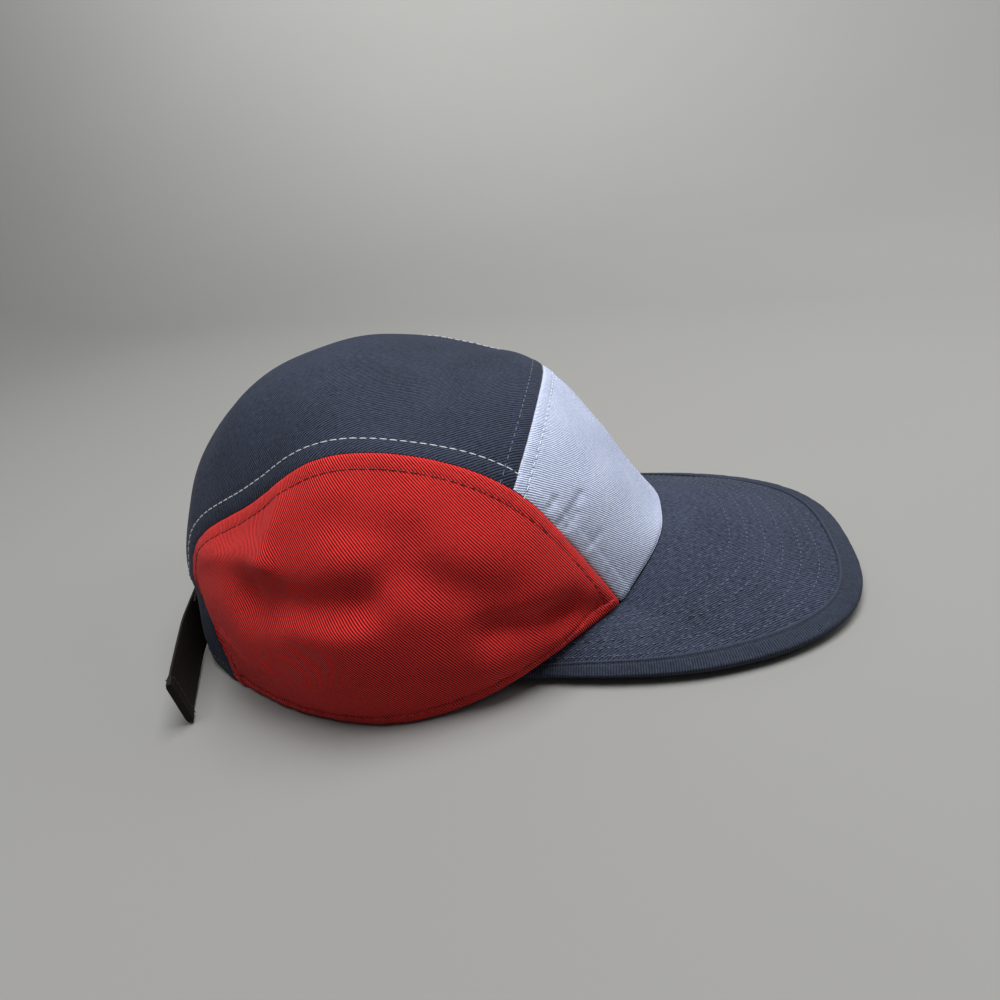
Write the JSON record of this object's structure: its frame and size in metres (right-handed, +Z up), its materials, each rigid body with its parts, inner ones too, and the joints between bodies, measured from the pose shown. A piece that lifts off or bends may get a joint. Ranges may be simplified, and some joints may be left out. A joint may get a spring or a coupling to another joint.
{
  "type": "five-panel cap",
  "caption": "Soft cap with a domed crown of sewn cloth panels, a stiff bound brim at the front and a webbing strap with a buckle at the back.",
  "frame": {"origin": "middle of the bounding box, on the surface the cap rests on", "axes": "+X to the front along the brim, +Y to the wearer's left, +Z up"},
  "size_m": [0.2826, 0.186, 0.1101],
  "materials": {
    "light_blue_twill": "matte twill",
    "navy_twill": "matte twill",
    "red_twill": "matte twill",
    "brim_twill": "matte twill with rows of stitching",
    "binding_tape": "matte tape",
    "black_webbing": "matte webbing",
    "black_plastic": "matte"
  },
  "bodies": {
    "root": {"front_panel": "light_blue_twill", "top_panel": "navy_twill", "side_panel_right": "red_twill", "side_panel_left": "red_twill", "brim": "brim_twill", "brim_binding": "binding_tape", "strap": "black_webbing", "strap_short": "black_webbing", "strap_buckle": "black_plastic"}
  },
  "joints": []
}
